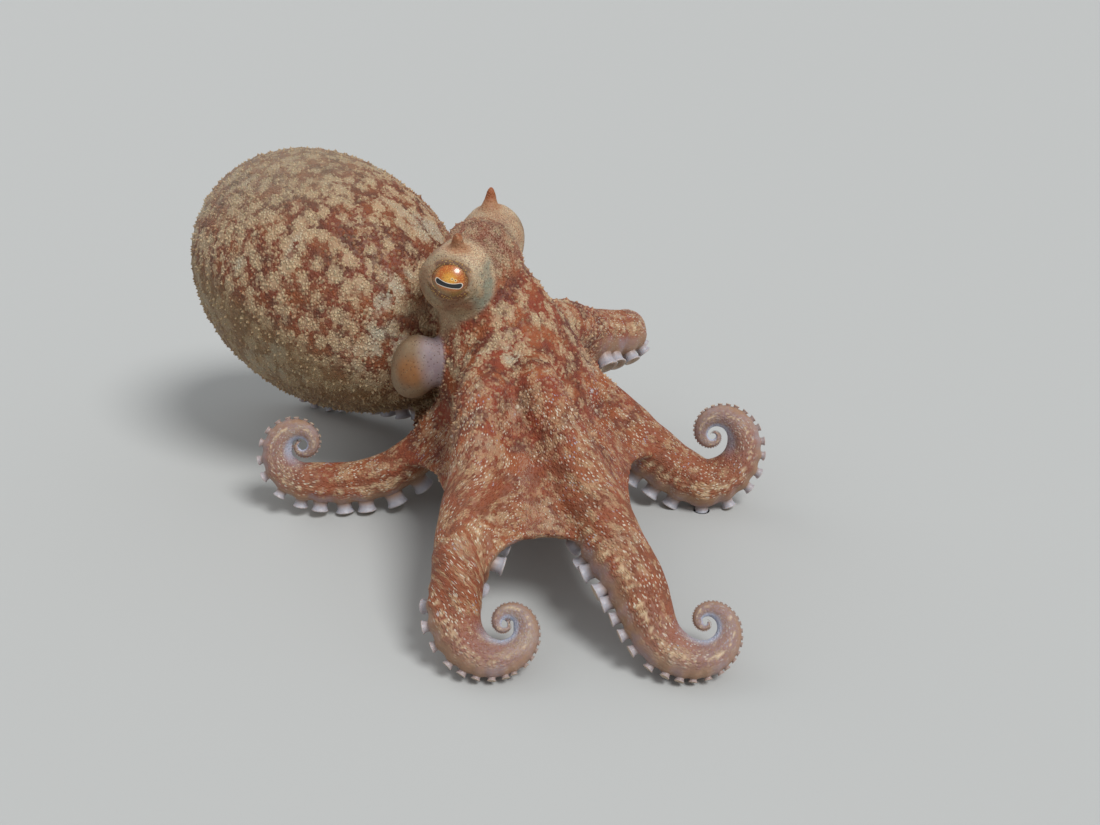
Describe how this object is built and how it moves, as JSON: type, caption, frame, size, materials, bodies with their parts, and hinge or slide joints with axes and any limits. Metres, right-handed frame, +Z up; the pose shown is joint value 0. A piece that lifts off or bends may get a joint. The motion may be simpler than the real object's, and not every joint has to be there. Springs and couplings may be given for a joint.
{
  "type": "octopus",
  "caption": "Life-size still model of a curled octopus walking on the seabed, arm tips rolled into spirals, sac-like mantle raised behind the head.",
  "frame": {"origin": "floor point under the middle of the whole animal's box", "axes": "+Z up; +X from the mantle towards the leading arms on the animal's front; +Y from its right side to its left"},
  "size_m": [0.2206, 0.2347, 0.1208],
  "materials": {
    "mantle_skin": "wet granular brick-red skin with dense cream grains",
    "head_skin": "wet granular brick-red skin",
    "arm_skin": "wet orange-red skin with cream flecks, pale underside",
    "arm_tip_skin": "wet translucent pinkish-lilac skin with pale suckers",
    "web_skin": "thin wet brick-red web skin with fine pale streaks",
    "funnel_skin": "smooth wet translucent lilac and ochre skin",
    "eye_bulb_skin": "smooth grey-olive skin with small dark dots",
    "papilla_skin": "soft orange-brown papilla over the eye",
    "eye": "glossy gold iris with a dark slit pupil, clear cornea"
  },
  "bodies": {
    "root": {"arm_left1_base": "arm_skin", "arm_left1_middle": "arm_skin", "arm_left1_tip": "arm_tip_skin", "arm_left2_base": "arm_skin", "arm_left2_middle": "arm_skin", "arm_left2_tip": "arm_tip_skin", "arm_left3_base": "arm_skin", "arm_left3_middle": "arm_skin", "arm_left3_tip": "arm_tip_skin", "arm_left4_base": "arm_skin", "arm_left4_middle": "arm_skin", "arm_left4_tip": "arm_tip_skin", "arm_right1_base": "arm_skin", "arm_right1_middle": "arm_skin", "arm_right1_tip": "arm_tip_skin", "arm_right2_base": "arm_skin", "arm_right2_middle": "arm_skin", "arm_right2_tip": "arm_tip_skin", "arm_right3_base": "arm_skin", "arm_right3_middle": "arm_skin", "arm_right3_tip": "arm_tip_skin", "arm_right4_base": "arm_skin", "arm_right4_middle": "arm_skin", "arm_right4_tip": "arm_tip_skin", "crown": "web_skin", "eye_bulb_left": "eye_bulb_skin", "eye_bulb_right": "eye_bulb_skin", "eye_left": "eye", "eye_right": "eye", "funnel": "funnel_skin", "head": "head_skin", "mantle": "mantle_skin", "papilla_left": "papilla_skin", "papilla_right": "papilla_skin", "web_left1_right1": "web_skin", "web_left2_left1": "web_skin", "web_left3_left2": "web_skin", "web_left4_left3": "web_skin", "web_right1_right2": "web_skin", "web_right2_right3": "web_skin", "web_right3_right4": "web_skin", "web_right4_left4": "web_skin"}
  },
  "joints": []
}
